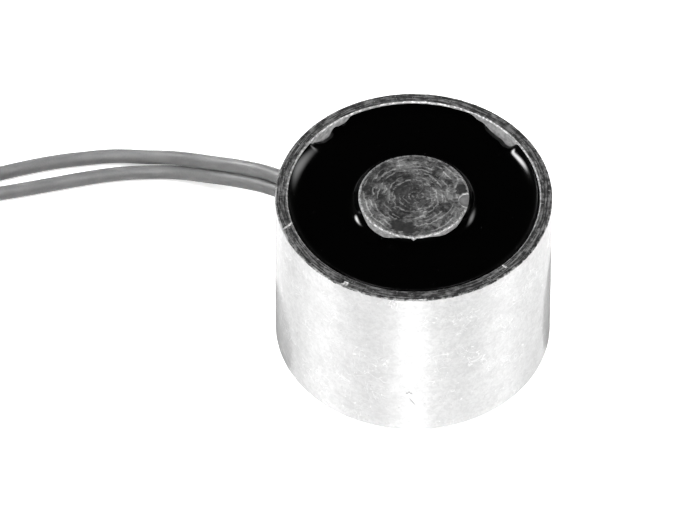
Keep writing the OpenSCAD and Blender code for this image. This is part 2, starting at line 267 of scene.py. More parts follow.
class StageSettings(bpy.types.PropertyGroup):
    """Camera, floor and lights."""

    elevation: angle("Elevation", "Camera's angle above the floor", 48.7)
    distance: length("Distance", "Distance from the camera to the rim's middle", 0.85)
    scale: number("Scale", "Pixels to a millimetre at the rim", 13.87)
    image_w: whole("Image width", "Width of the picture in pixels", 676, "PIXEL")
    image_h: whole("Image height", "Height of the picture in pixels", 513, "PIXEL")
    rim_x: number("Rim across", "Pixel column of the rim's middle", 413.7, "PIXEL")
    rim_y: number("Rim down", "Pixel row of the rim's middle", 195.8, "PIXEL")
    floor: colour("Floor", "Pale floor", grey(0.85))
    lift: number("Lift", "Backlight of the floor that the camera sees", 0.7, "FACTOR")
    sheen: number("Sheen", "Backlight of the floor that the steel mirrors", 0.28, "FACTOR")
    shade: number("Shade", "Dark of the floor beside the pot in its mirror", 0.58, "FACTOR")
    horizon: colour("Horizon", "Room light near the horizon", grey(0.07))
    ceiling: colour("Ceiling", "Room light from overhead", grey(0.005))


def settings(name):
    """One of this scene's groups of settings."""
    return getattr(bpy.context.scene, "magnet_" + name)


def polar(radius, bearing, z):
    """A point at a radius and a bearing in degrees."""
    a = math.radians(bearing)
    return Vector((radius * math.cos(a), radius * math.sin(a), z))


def smooth(share):
    """Eases a share from 0 to 1 with level ends."""
    s = min(max(share, 0), 1)
    return s * s * (3 - 2 * s)


def turn_between(a, b):
    """Smallest angle between two bearings, in degrees."""
    return abs((a - b + 180) % 360 - 180)


# Modelling


def fresh():
    """Leaves edit mode and deselects everything, so that the next operator acts on a new piece alone."""
    if bpy.context.mode != "OBJECT":
        bpy.ops.object.mode_set(mode="OBJECT")
    bpy.ops.object.select_all(action="DESELECT")


def pick(piece):
    """Makes one object the only selected and active one."""
    fresh()
    piece.select_set(True)
    bpy.context.view_layer.objects.active = piece


def named(name):
    """Names the object that an operator has just made, and its mesh."""
    piece = bpy.context.object
    piece.name = name
    piece.data.name = name
    return piece


def edit(piece):
    """Opens a piece in edit mode with nothing selected."""
    pick(piece)
    bpy.ops.object.mode_set(mode="EDIT")
    bpy.ops.mesh.select_all(action="DESELECT")


def choose(piece, test):
    """In edit mode, selects the points of a piece that pass a test of their place."""
    bpy.ops.mesh.select_mode(type="VERT")
    bpy.ops.mesh.select_all(action="DESELECT")
    bpy.ops.object.mode_set(mode="OBJECT")
    for point in piece.data.vertices:
        point.select = test(point.co)
    bpy.ops.object.mode_set(mode="EDIT")


def eased(outline, ease, steps=3, closed=True):
    """An outline with its corners rounded off, each within a distance of its point."""
    made = []
    count = len(outline)
    for i, corner in enumerate(outline):
        here = Vector(corner)
        if not closed and i in (0, count - 1):
            made.append(here)
            continue
        before = Vector(outline[i - 1]) - here
        after = Vector(outline[(i + 1) % count]) - here
        reach = min(ease, before.length / 3, after.length / 3)
        start = here + before.normalized() * reach
        end = here + after.normalized() * reach
        for k in range(steps + 1):
            t = k / steps
            made.append(start * (1 - t) ** 2 + here * 2 * t * (1 - t) + end * t * t)
    return made


def in_rows(outline, longest):
    """An outline with points added along its long straights."""
    made = [Vector(outline[0])]
    for start, end in zip(outline, outline[1:]):
        start, end = Vector(start), Vector(end)
        rows = max(1, math.ceil((end - start).length / longest))
        made += [start.lerp(end, k / rows) for k in range(1, rows + 1)]
    return made


def drawn(name, outline, y=0):
    """A bent line, left in edit mode: a plane is merged to a point, which is drawn out along an outline."""
    fresh()
    bpy.ops.mesh.primitive_plane_add(size=MM)
    piece = named(name)
    bpy.ops.object.mode_set(mode="EDIT")
    bpy.ops.mesh.select_all(action="SELECT")
    bpy.ops.mesh.merge(type="CENTER")
    bpy.ops.transform.translate(value=(outline[0][0], y, outline[0][1]))
    for start, end in zip(outline, outline[1:]):
        move = (end[0] - start[0], 0, end[1] - start[1])
        bpy.ops.mesh.extrude_vertices_move(TRANSFORM_OT_translate={"value": move})
    bpy.ops.mesh.select_all(action="SELECT")
    return piece


def turned(name, outline, steps):
    """A body of revolution: its section is drawn and spun round Z."""
    piece = drawn(name, outline)
    bpy.ops.mesh.spin(steps=steps, angle=2 * math.pi, center=(0, 0, 0), axis=(0, 0, 1))
    close_up()
    return piece


def close_up(nearest=0.0005 * MM):
    """In edit mode, merges the points of a mesh that meet and turns its faces outwards."""
    bpy.ops.mesh.select_all(action="SELECT")
    bpy.ops.mesh.remove_doubles(threshold=nearest)
    bpy.ops.mesh.select_all(action="SELECT")
    bpy.ops.mesh.normals_make_consistent(inside=False)


def push(piece, place, move, reach):
    """In edit mode, moves the point nearest to a place, and its neighbours less and less up to a reach."""
    piece.update_from_editmode()
    nearest = min(piece.data.vertices, key=lambda point: (point.co - place).length_squared).co.copy()
    choose(piece, lambda co: (co - nearest).length < HAIR)
    bpy.ops.transform.translate(
        value=move, use_proportional_edit=True, proportional_edit_falloff="SMOOTH", proportional_size=reach)


def combine(piece, tool, operation):
    """Cuts a tool's shape out of a piece, or fuses it to the piece, and removes the tool."""
    pick(piece)
    bpy.ops.object.modifier_add(type="BOOLEAN")
    modifier = piece.modifiers[-1]
    modifier.object = tool
    modifier.operation = operation
    modifier.solver = "EXACT"
    bpy.ops.object.modifier_apply(modifier=modifier.name)
    bpy.data.objects.remove(tool)


def settle(piece, crease=35):
    """Puts a piece's place into its mesh and smooths its shading, apart from its edges."""
    pick(piece)
    bpy.ops.object.transform_apply(location=True, rotation=True, scale=True)
    bpy.ops.object.shade_smooth_by_angle(angle=math.radians(crease))


def paint(piece, finishes, rule):
    """Gives a piece several finishes, and each face the one that a rule of its middle and normal picks."""
    for finish in finishes:
        piece.data.materials.append(finish)
    for face in piece.data.polygons:
        face.material_index = rule(face.center, face.normal)


def place_on_body(piece, slot, *nodes, group=None):
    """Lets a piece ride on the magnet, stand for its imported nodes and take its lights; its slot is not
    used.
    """
    if group:
        bpy.data.collections[group].objects.link(piece)
    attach(piece, BODY)
    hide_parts(*nodes)


def exit_rod(name, pot, inner, outer):
    """A round rod along the lead hole, between two distances from the axis."""
    fresh()
    bpy.ops.mesh.primitive_cylinder_add(
        vertices=64, radius=pot.exit_d / 2, depth=outer - inner,
        location=polar((outer + inner) / 2, EXIT_BEARING, pot.exit_z),
        rotation=(0, math.radians(90), math.radians(EXIT_BEARING)))
    return named(name)


# Finishes


class Nodes:
    """A node tree in the making, with short calls for its nodes."""

    def __init__(self, owner, source, place):
        owner.use_nodes = True
        self.tree = owner.node_tree
        self.place = self.add(source).outputs[place]

    def add(self, kind, inputs=None, **choices):
        """A new node, with its inputs fed and its choices made."""
        made = self.tree.nodes.new("ShaderNode" + kind)
        for key, value in choices.items():
            setattr(made, key, value)
        for key, value in (inputs or {}).items():
            self.feed(made.inputs[key], value)
        return made

    def feed(self, socket, value):
        """Links an output to a socket, or sets a constant on it."""
        if isinstance(value, bpy.types.NodeSocket):
            self.tree.links.new(value, socket)
        else:
            socket.default_value = value

    def calc(self, operation, a, b=0.0):
        """One step of arithmetic."""
        return self.add("Math", {0: a, 1: b}, operation=operation).outputs[0]

    def plus(self, a, b):
        return self.calc("ADD", a, b)

    def times(self, a, b):
        return self.calc("MULTIPLY", a, b)

    def vector(self, operation, a, b=(0, 0, 0)):
        """One step of vector arithmetic that gives a vector."""
        return self.add("VectorMath", {0: a, 1: b}, operation=operation).outputs["Vector"]

    def measure(self, operation, a, b=(0, 0, 0)):
        """One step of vector arithmetic that gives a number."""
        return self.add("VectorMath", {0: a, 1: b}, operation=operation).outputs["Value"]

    def noise(self, size, detail=2.0, rough=0.5, twist=0.0, place=None):
        """Soft random blotches of about a size."""
        inputs = {"Vector": place or self.place, "Scale": 1 / size, "Detail": detail,
                  "Roughness": rough, "Distortion": twist}
        return self.add("TexNoise", inputs).outputs[0]

    def ramp(self, value, low, high, out_low=0.0, out_high=1.0):
        """Eases from one output to the other as a value goes from low to high."""
        inputs = {"Value": value, "From Min": low, "From Max": high, "To Min": out_low, "To Max": out_high}
        return self.add("MapRange", inputs, interpolation_type="SMOOTHSTEP").outputs[0]

    def mix(self, share, a, b):
        """Colour a, going over to b with a share."""
        return self.add("Mix", {0: share, 6: a, 7: b}, data_type="RGBA").outputs[2]


class Finish(Nodes):
    """A node material in the making: its shader, and the patterns that feed it."""

    def __init__(self, name, sockets):
        self.material = bpy.data.materials.new(name)
        super().__init__(self.material, "TexCoord", "Object")
        self.shader = self.tree.nodes["Principled BSDF"]
        for key, value in sockets.items():
            self.shader.inputs[key].default_value = value
        self.normal = None

    def set(self, key, value):
        """Feeds one of the shader's sockets."""
        self.feed(self.shader.inputs[key], value)

    def bump(self, height, depth):
        """Adds relief on top of what is there."""
        inputs = {"Height": height, "Distance": depth}
        if self.normal:
            inputs["Normal"] = self.normal
        self.normal = self.add("Bump", inputs).outputs["Normal"]
        self.set("Normal", self.normal)

    def roughen(self, pattern, low, high):
        """Roughness between two values, as a pattern goes from low to high."""
        self.set("Roughness", self.ramp(pattern, 0.3, 0.7, low, high))

    def from_axis(self):
        """Distance from the axis, and the direction away from it."""
        flat = self.vector("MULTIPLY", self.place, (1, 1, 0))
        return self.measure("LENGTH", flat), self.vector("NORMALIZE", flat)

    def away(self, spot):
        """Distance from a spot."""
        return self.measure("DISTANCE", self.place, spot)

    def round_marks(self, width, arc, detail=2.0, twist=0.0):
        """Marks that run round the axis: thin across the radius, and long along the turn."""
        radius, outward = self.from_axis()
        along = self.add("VectorMath", {0: outward, "Scale": 1 / arc}, operation="SCALE").outputs["Vector"]
        across = self.add("CombineXYZ", {2: self.calc("DIVIDE", radius, width)}).outputs[0]
        return self.noise(1, detail, 0.5, twist, self.vector("ADD", along, across))

    def threads(self, size, width, twist=0.0):
        """Fine wandering lines, where a soft pattern crosses its middle value."""
        off = self.calc("ABSOLUTE", self.calc("SUBTRACT", self.noise(size, 1, 0.5, twist), 0.5))
        return self.ramp(off, 0, width, 1, 0)

    def streaks(self, width, run, tilt):
        """Straight fine scratches that lean over by an angle in degrees."""
        inputs = {"Vector": self.place, "Rotation": (0, math.radians(tilt), 0),
                  "Scale": (1 / width, 1 / width, 1 / run)}
        leaning = self.add("Mapping", inputs).outputs[0]
        return self.ramp(self.noise(1, 1, place=leaning), 0.66, 0.74)


def plated_steel(pot):
    """Bright zinc over turned steel: cloudy, speckled, scratched and lightly brushed round the axis."""
    finish = Finish("plated_steel", {"Metallic": 1.0, "Anisotropic": 0.9, "Anisotropic Rotation": 0.25,
                                     "Coat Weight": 1.0, "Coat Roughness": 0.1})
    clouds = finish.noise(1.6 * MM, 3, 0.6)
    mottle = finish.noise(0.36 * MM, 3, 0.65, 0.4)
    grain = finish.noise(0.15 * MM, 2, 0.6)
    patches = finish.noise(2.1 * MM, 2, 0.6)
    flakes = finish.ramp(finish.noise(0.3 * MM, 3, 0.65, 0.9), 0.66, 0.7)
    worms = finish.times(finish.threads(1.1 * MM, 0.024, 1.6), finish.ramp(patches, 0.53, 0.6))
    hatch = finish.times(finish.streaks(0.06 * MM, 0.9 * MM, 26), finish.ramp(clouds, 0.5, 0.6))
    specks = finish.ramp(finish.noise(0.19 * MM, 2, 0.6, 0.3), 0.69, 0.76, 0, 0.5)
    scuffs = finish.calc("MAXIMUM", finish.calc("MAXIMUM", flakes, worms), hatch)
    tone = finish.plus(finish.times(clouds, 0.3), finish.times(mottle, 0.45))
    tone = finish.ramp(finish.plus(tone, finish.times(grain, 0.25)), 0.36, 0.64)
    for across, height, lean, half_width, half_length in SIDE_MARKS:
        inputs = {"Vector": finish.place, "Location": (across, -POT_R, height),
                  "Rotation": (0, math.radians(lean), 0), "Scale": (half_width, MM, half_length)}
        local = finish.add("Mapping", inputs, vector_type="TEXTURE").outputs[0]
        off = finish.measure("LENGTH", local)
        specks = finish.calc("MAXIMUM", specks, finish.ramp(off, 0.5, 1.1, 0.9, 0))
    skin = finish.mix(scuffs, finish.mix(tone, pot.plate_dark, pot.plate), grey(1))
    finish.set("Base Color", finish.mix(specks, skin, grey(0.3)))
    finish.roughen(grain, 0.42, 0.54)
    tangent = finish.add("Tangent", direction_type="RADIAL", axis="Z").outputs[0]
    finish.set("Tangent", tangent)
    finish.bump(grain, 0.004 * MM)
    finish.bump(scuffs, 0.006 * MM)
    finish.bump(finish.noise(2.4 * MM, 2), 0.02 * MM)
    return finish.material


def faced_steel(pot):
    """The rim's faced steel, dark with smut and marked round and round by the tool."""
    finish = Finish("faced_steel", {"Metallic": 1.0})
    marks = finish.round_marks(0.1 * MM, 0.14, 2)
    blotches = finish.noise(0.42 * MM, 4, 0.7)
    specks = finish.ramp(finish.noise(0.22 * MM, 2, 0.6), 0.64, 0.7)
    tone = finish.plus(finish.times(marks, 0.55), finish.times(blotches, 0.45))
    worn = finish.ramp(finish.from_axis()[0], POT_R - 0.16 * MM, POT_R - 0.06 * MM)
    worn = finish.times(worn, finish.ramp(blotches, 0.45, 0.6))
    tone = finish.ramp(tone, 0.43, 0.68)
    for bright, share in ((specks, 0.9), (worn, 0.6)):
        tone = finish.plus(tone, finish.times(bright, share))
    finish.set("Base Color", finish.mix(tone, grey(0.075), pot.faced))
    finish.roughen(blotches, 0.36, 0.5)
    finish.bump(marks, 0.006 * MM)
    finish.bump(finish.noise(0.09 * MM, 2), 0.003 * MM)
    return finish.material


def cut_edge(name, bright):
    """Steel laid bare where an edge was broken: matt, with small chatter marks."""
    finish = Finish(name, {"Metallic": 0.5})
    chatter = finish.noise(0.22 * MM, 3, 0.6)
    finish.set("Base Color", finish.mix(finish.ramp(chatter, 0.42, 0.62), grey(bright * 0.4), grey(bright)))
    finish.roughen(chatter, 0.32, 0.45)
    finish.bump(chatter, 0.01 * MM)
    return finish.material


def dull_plating(name, shade):
    """Matt plating out of the polisher's reach."""
    finish = Finish(name, {"Metallic": 0.35})
    clouds = finish.noise(0.35 * MM, 3, 0.6)
    finish.set("Base Color", finish.mix(finish.ramp(clouds, 0.35, 0.65), grey(shade[0] * 0.6), shade))
    finish.roughen(clouds, 0.5, 0.66)
    finish.bump(finish.noise(0.1 * MM, 2), 0.004 * MM)
    return finish.material


def turned_steel(core):
    """The core's pole face: rings left by the tool under a blotchy dark film, with bright scuffs and a
    painted highlight on the pip.
    """
    finish = Finish("turned_steel", {"Metallic": 1.0})
    radius = finish.from_axis()[0]
    blotches = finish.noise(1.2 * MM, 4, 0.62, 0.6)
    fine = finish.noise(0.24 * MM, 3, 0.62, 0.6)
    turns = finish.plus(finish.calc("DIVIDE", radius, 0.36 * MM), finish.times(blotches, 2.5))
    rings = finish.calc("SINE", finish.times(turns, 2 * math.pi))
    broken = finish.ramp(finish.round_marks(0.3 * MM, 0.5, 2, 0.5), 0.46, 0.6)
    arcs = finish.times(finish.ramp(rings, 0.2, 1), broken)
    scuffs = finish.times(finish.threads(0.9 * MM, 0.03, 0.5), finish.ramp(blotches, 0.47, 0.55))
    off_groove = finish.calc("ABSOLUTE", finish.calc("SUBTRACT", radius, GROOVE_R))
    groove = finish.ramp(off_groove, 0, 0.1 * MM, 1, 0)
    groove = finish.times(groove, finish.ramp(fine, 0.42, 0.55))
    tone = finish.plus(finish.times(blotches, 0.6), finish.times(fine, 0.4))
    tone = finish.ramp(tone, 0.38, 0.64, 0.0, 0.4)
    tone = finish.times(tone, finish.ramp(radius, 0.9 * GROOVE_R, 1.1 * GROOVE_R, 0.55, 1.1))
    lip = finish.ramp(radius, CORE_R - 0.24 * MM, CORE_R - 0.14 * MM)
    lip = finish.times(lip, finish.ramp(fine, 0.38, 0.55))
    for bright, share in ((arcs, 0.5), (scuffs, 0.35), (groove, 0.4), (lip, 0.4)):
        tone = finish.plus(tone, finish.times(bright, share))
    # Darkens the stains, and brightens the pip as a painted highlight
    for spot, reach, left in CORE_STAINS_AND_PIP_HIGHLIGHT:
        uneven = finish.times(finish.calc("SUBTRACT", fine, 0.5), reach)
        edge = finish.plus(finish.away(spot), uneven)
        tone = finish.times(tone, finish.ramp(edge, 0.7 * reach, reach, left, 1))
    finish.set("Base Color", finish.mix(tone, core.smut, core.steel))
    finish.roughen(blotches, 0.5, 0.36)
    finish.bump(rings, 0.01 * MM)
    finish.bump(fine, 0.008 * MM)
    return finish.material


def black_resin(resin):
    """Poured black resin: glossy, with a faint swell and a little dust."""
    finish = Finish("black_resin", {})
    shine = 0.27
    for spot, reach in RESIN_DULL:
        shine = finish.times(finish.ramp(finish.away(spot), 0.7 * reach, reach), shine)
    finish.set("Specular IOR Level", shine)
    dust = finish.ramp(finish.noise(0.12 * MM, 1), 0.8, 0.86)
    finish.set("Base Color", finish.mix(dust, resin.black, grey(0.05)))
    finish.roughen(finish.noise(1.5 * MM, 2), 0.1, 0.15)
    finish.bump(finish.noise(2.2 * MM, 1), 0.01 * MM)
    return finish.material


def lead_insulation(lead):
    """Soft grey insulation with a satin skin and faint handling marks."""
    finish = Finish("lead_insulation", {
        "Specular IOR Level": 0.4, "Sheen Weight": 0.1, "Subsurface Weight": 1.0,
        "Subsurface Radius": (1, 1, 1), "Subsurface Scale": 0.5 * MM})
    cloud = finish.noise(1.8 * MM, 3, 0.6)
    grain = finish.noise(0.12 * MM, 2)
    shade = lead.insulation[0]
    tone = finish.ramp(finish.plus(finish.times(cloud, 0.6), finish.times(grain, 0.4)), 0.35, 0.65)
    finish.set("Base Color", finish.mix(tone, grey(shade * 0.85), grey(shade * 1.12)))
    finish.roughen(grain, 0.42, 0.55)
    finish.bump(grain, 0.006 * MM)
    finish.bump(cloud, 0.02 * MM)
    return finish.material


def plain_metal(name, tint, size, rough):
    """Soft bright metal with a wavy skin, such as solder or tinned wire."""
    finish = Finish(name, {"Metallic": 0.6})
    wave = finish.noise(size, 3, 0.6)
    finish.set("Base Color", finish.mix(wave, dimmed(tint, 0.8), tint))
    finish.roughen(wave, rough, rough + 0.15)
    finish.bump(wave, size * 0.05)
    return finish.material


def moulded(name, tint, rough, grain=0.15 * MM, depth=0.004 * MM):
    """Moulded or drawn plastic with a fine even grain and slight change of shade."""
    finish = Finish(name, {"Specular IOR Level": 0.45})
    pits = finish.noise(grain, 2)
    cloud = finish.noise(grain * 12, 2)
    finish.set("Base Color", finish.mix(cloud, dimmed(tint, 0.85), tint))
    finish.roughen(pits, rough, rough + 0.12)
    finish.bump(pits, depth)
    return finish.material


def wound_wire(wire=0.2 * MM):
    """Enamelled copper wound in level turns, each turn a ridge."""
    finish = Finish("enamelled_copper", {"Metallic": 0.85, "Coat Weight": 0.5})
    z = finish.add("SeparateXYZ", {0: finish.place}).outputs[2]
    turn = finish.calc("SINE", finish.times(z, 2 * math.pi / wire))
    cloud = finish.noise(0.8 * MM, 2)
    finish.set("Base Color", finish.mix(cloud, (0.42, 0.13, 0.05, 1), (0.62, 0.24, 0.1, 1)))
    finish.roughen(cloud, 0.25, 0.38)
    finish.bump(turn, wire * 0.2)
    return finish.material


# Pieces


class MAGNET_OT_pot(bpy.types.Operator):
    """Turns the steel pot, with its worn rim, chamfered foot and lead hole"""

    bl_idname = "magnet.pot"
    bl_label = "Pot"

    def execute(self, context):
        pot = settings("pot")
        brk, foot = pot.rim_break, pot.foot_chamfer
        section = [
            (pot.spigot_r + pot.rivet_flare, 0), (POT_R - foot, 0), (POT_R, foot),
            (POT_R, POT_H - brk), (POT_R - brk, POT_H), (BORE_R + brk, POT_H), (BORE_R, POT_H - brk),
            (BORE_R, BASE_T), (pot.spigot_r, BASE_T), (pot.spigot_r, pot.rivet_flare)]
        section = eased(section, CORNER)
        piece = turned("pot_shell", in_rows(section + section[:1], 0.6 * MM), pot.steps)
        self.wear(piece, pot)
        self.nick(piece)
        self.drill(piece, pot)
        settle(piece)
        finishes = [plated_steel(pot), faced_steel(pot), cut_edge("bare_rim_edge", 0.75),
                    dull_plating("dull_bore", pot.bore)]
        paint(piece, finishes, self.finish_of)
        place_on_body(piece, "plated_steel", "pot", group=STEEL)
        return {"FINISHED"}

    def wear(self, piece, pot):
        """Leaves the rim's outer edge ragged and lifts its burrs."""
        edit(piece)
        band = 1.4 * pot.rim_break
        low = POT_H - band
        choose(piece, lambda co: co.z > low and math.hypot(co.x, co.y) > POT_R - band)
        bpy.ops.transform.vertex_random(offset=pot.ragged, seed=4)
        choose(piece, lambda co: co.z > low and math.hypot(co.x, co.y) < BORE_R + band)
        bpy.ops.transform.vertex_random(offset=pot.ragged * 0.4, seed=9)
        for bearing, out, up, reach in RIM_BURRS:
            push(piece, polar(POT_R, bearing, POT_H), polar(out, bearing, up), reach)
        bpy.ops.object.mode_set(mode="OBJECT")

    def nick(self, piece):
        """Cuts the nicks in the rim."""
        for bearing, radius, run, width, depth, slant in RIM_NICKS:
            fresh()
            bpy.ops.mesh.primitive_cylinder_add(
                vertices=4, radius=1, depth=1, location=polar(radius, bearing, POT_H),
                rotation=(0, math.radians(90), math.radians(bearing + slant)))
            tool = named("groove")
            tool.scale = (depth, width / 2, run)
            combine(piece, tool, "DIFFERENCE")

    def drill(self, piece, pot):
        """Drills the lead hole through the wall."""
        wall = POT_R - BORE_R
        combine(piece, exit_rod("drill", pot, BORE_R - wall, POT_R + wall), "DIFFERENCE")

    def finish_of(self, middle, normal):
        """Plating, faced rim, bare edge or dull bore."""
        radius = math.hypot(middle.x, middle.y)
        if middle.z > POT_H - EDGE_DEPTH and BORE_R - SLACK < radius < POT_R + EDGE_DEPTH:
            outward = normal.x * middle.x + normal.y * middle.y > 0
            worn = outward and normal.z > 0.3 and radius > POT_R - EDGE_WIDTH
            return 1 if worn or normal.z > 0.85 else 2
        return 3 if radius < BORE_R + SLACK and middle.z > BASE_T / 2 else 0


class MAGNET_OT_core(bpy.types.Operator):
    """Turns the steel core, with its worn pole face and the tapped hole in its back"""

    bl_idname = "magnet.core"
    bl_label = "Core"

    def execute(self, context):
        core, pot = settings("core"), settings("pot")
        brk = core.edge_break
        point = core.drill_r * math.tan(math.radians(90 - DRILL_POINT / 2))
        section = [
            (0, POT_H - core.pip_depth), (core.pip_r, POT_H), (CORE_R - brk, POT_H), (CORE_R, POT_H - brk),
            (CORE_R, BASE_T), (pot.spigot_r, BASE_T), (pot.spigot_r, pot.rivet_flare),
            (pot.spigot_r + pot.rivet_flare, 0), (core.drill_r + core.mouth, 0),
            (core.thread_r, core.drill_r + core.mouth - core.thread_r),
            (core.thread_r, core.thread_depth),
            (core.drill_r, core.thread_depth + core.thread_r - core.drill_r),
            (core.drill_r, core.drill_depth), (0, core.drill_depth + point)]
        section = eased(section, CORNER, closed=False)
        piece = turned("core_pole", in_rows(section, 0.3 * MM), core.steps)
        edit(piece)
        choose(piece, lambda co: co.z > POT_H - 1.2 * brk and math.hypot(co.x, co.y) > CORE_R - 1.4 * brk)
        bpy.ops.transform.vertex_random(offset=0.01 * MM, seed=2)
        bearing, out, reach = CORE_BURR
        push(piece, polar(CORE_R, bearing, POT_H), polar(out, bearing, 0), reach)
        fresh()
        self.chip(piece)
        self.tap(piece, core)
        settle(piece)
        finishes = [turned_steel(core), cut_edge("bare_pole_edge", 0.65), dull_plating("dull_core", pot.bore),
                    dull_plating("chipped_steel", grey(0.16))]
        paint(piece, finishes, self.finish_of)
        place_on_body(piece, "ground_steel", "core", group=STEEL)
        return {"FINISHED"}

    def chip(self, piece):
        """Scoops a chip out of the pole face's edge."""
        fresh()
        bpy.ops.mesh.primitive_uv_sphere_add(
            segments=96, ring_count=64, radius=CHIP_R, location=polar(*CHIP_AT))
        combine(piece, named("scoop"), "DIFFERENCE")

    def tap(self, piece, core):
        """Winds the thread's ridge inside the tapped hole."""
        fresh()
        half = core.thread_pitch * 0.46
        crest = core.thread_pitch * 0.08
        root_r = core.thread_r + SLACK
        outline = [(root_r, -half), (core.drill_r, -crest), (core.drill_r, crest), (root_r, half)]
        bpy.ops.mesh.primitive_plane_add(size=MM)
        ridge = named("thread_ridge")
        for point, (r, z) in zip(ridge.data.vertices, (outline[0], outline[1], outline[3], outline[2])):
            point.co = (r, 0, core.mouth + z)
        bpy.ops.object.modifier_add(type="SCREW")
        screw = ridge.modifiers[-1]
        screw.steps = screw.render_steps = 48
        screw.iterations = int((core.thread_depth - core.mouth) / core.thread_pitch)
        screw.screw_offset = core.thread_pitch
        bpy.ops.object.modifier_apply(modifier=screw.name)
        edit(ridge)
        bpy.ops.mesh.select_all(action="SELECT")
        bpy.ops.mesh.fill_holes(sides=4)
        close_up()
        fresh()
        combine(piece, ridge, "UNION")

    def finish_of(self, middle, normal):
        """Turned face, bright edge, dull side or chip."""
        radius = math.hypot(middle.x, middle.y)
        scooped = abs((middle - polar(*CHIP_AT)).length - CHIP_R) < NEAR
        if scooped and middle.z < POT_H - HAIR:
            return 1 if middle.z > POT_H - CHIP_LIP else 3
        if middle.z > POT_H - EDGE_DEPTH and 0.3 < normal.z < 0.93 and radius > CORE_R - EDGE_WIDTH:
            return 1
        return 2 if radius > CORE_R - SLACK else 0


class MAGNET_OT_potting(bpy.types.Operator):
    """Pours the black resin, which climbs the steel unevenly and fills the lead hole"""

    bl_idname = "magnet.potting"
    bl_label = "Potting"

    def execute(self, context):
        resin, pot = settings("resin"), settings("pot")
        rows = resin.rows
        mid, half = (BORE_R + CORE_R) / 2, (BORE_R - CORE_R) / 2
        level = POT_H - resin.level_drop
        surface = [(mid + half * math.cos(math.pi * k / rows), level) for k in range(rows + 1)]
        section = [(FLANGE_R, BASE_T), (BORE_R, BASE_T)] + surface + [
            (CORE_R, BOBBIN_TOP), (FLANGE_R, BOBBIN_TOP), (FLANGE_R, ROOF_Z), (TAPE_R, ROOF_Z),
            (TAPE_R, FLOOR_Z), (FLANGE_R, FLOOR_Z)]
        piece = turned("potting_resin", section + section[:1], resin.steps)
        fresh()
        self.climb(piece, resin, level)
        self.plug(piece, resin, pot)
        settle(piece, 50)
        piece.data.materials.append(black_resin(resin))
        place_on_body(piece, "potting_resin", "potting", group=RESIN)
        return {"FINISHED"}

    def climb(self, piece, resin, level):
        """Draws the resin up the bore and the core, and leaves both bare where it lies low."""
        edge_break = settings("core").edge_break
        for point in piece.data.vertices:
            if abs(point.co.z - level) > NEAR:
                continue
            radius = math.hypot(point.co.x, point.co.y)
            bearing = math.degrees(math.atan2(point.co.y, point.co.x))
            broad = resin.broad * bell(bearing, LEFT_BROAD) + resin.meniscus
            for climb, off, reach, gaps in (
                    (resin.level_drop - resin.bore_drop, BORE_R - radius, broad, dips_at(bearing, BORE_DIPS)),
                    (resin.level_drop - resin.core_drop, radius - CORE_R, resin.core_meniscus,
                     dips_at(bearing, CORE_DIPS))):
                point.co.z += climb * (math.exp(-off / reach) - gaps * math.exp(-off / resin.tear))
            over = point.co.z - (POT_H - edge_break)
            if over > 0 and radius < CORE_R + HAIR:
                point.co.xy *= (CORE_R - over) / radius

    def plug(self, piece, resin, pot, root=0.6 * MM):
        """Fills the lead hole with resin up to its mouth, from a root inside the pour."""
        combine(piece, exit_rod("plug", pot, BORE_R - root, POT_R - resin.plug_drop), "UNION")


def bell(bearing, place):
    """A share that rises to 1 at a place's bearing and is 0 past its half width."""
    at, half = place
    return smooth(1 - turn_between(bearing, at) / half)


def dips_at(bearing, dips):
    """Share of the resin's climb that is missing at a bearing."""
    return sum(depth * smooth((1 - turn_between(bearing, at) / half) * 1.3) for at, half, depth in dips)


def inner_line(lead, turn, z, run_steps=4, bend_steps=5):
    """A lead's line from its splice, round the winding and out through the wall."""
    run_r = (TAPE_R + BORE_R) / 2
    bend_mid = math.sqrt((run_r + lead.bend_r) ** 2 - lead.bend_r ** 2)
    bend_end = math.degrees(math.asin(lead.bend_r / (run_r + lead.bend_r)))
    tail_end = bend_end + math.degrees(lead.tail / run_r)
    points = []
    for i in range(run_steps + 1):
        off = tail_end + (bend_end - tail_end) * i / run_steps
        points.append(polar(run_r, EXIT_BEARING + turn * off, z))
    outward = polar(1, EXIT_BEARING, 0)
    aside = polar(1, EXIT_BEARING + 90, 0)
    for i in range(1, bend_steps + 1):
        a = math.radians(180 + bend_end + (90 - bend_end) * i / bend_steps)
        out = bend_mid + lead.bend_r * math.cos(a)
        along = turn * lead.bend_r * (1 + math.sin(a))
        points.append(outward * out + aside * along + Vector((0, 0, z)))
    points.append(polar(POT_R + lead.exit_run, EXIT_BEARING, z))
    return points


def coil_line(lead, layer, steps=20, entry=100, drift=0.35 * MM, drift_turns=0.35):
    """A lead's turns in the coil, spiralling inwards, with the last of them drawn in to the stripped end."""
    z = COIL_LOW.z + lead.diameter / 2 + layer * lead.pitch
    count = round(lead.turns * steps)
    points = []
    for i in range(count + 1):
        turned_by = i / steps
        drawn_in = smooth((turned_by - lead.turns + drift_turns) / drift_turns) * drift
        radius = lead.coil_r - lead.pitch * turned_by - drawn_in
        points.append(polar(radius, entry + 360 * turned_by, z) + Vector((COIL_AT.x, COIL_AT.y, 0)))
    return points


def tube(name, lines, diameter, sides=10):
    """A round tube of smooth curves through lists of points."""
    fresh()
    data = bpy.data.curves.new(name, "CURVE")
    data.dimensions = "3D"
    data.bevel_depth = diameter / 2
    data.bevel_resolution = sides
    data.use_fill_caps = True
    data.resolution_u = 6
    for line in lines:
        spline = data.splines.new("BEZIER")
        spline.bezier_points.add(len(line) - 1)
        for knot, place in zip(spline.bezier_points, line):
            knot.co = place
            knot.handle_left_type = knot.handle_right_type = "AUTO"
    piece = bpy.data.objects.new(name, data)
    bpy.context.scene.collection.objects.link(piece)
    return piece


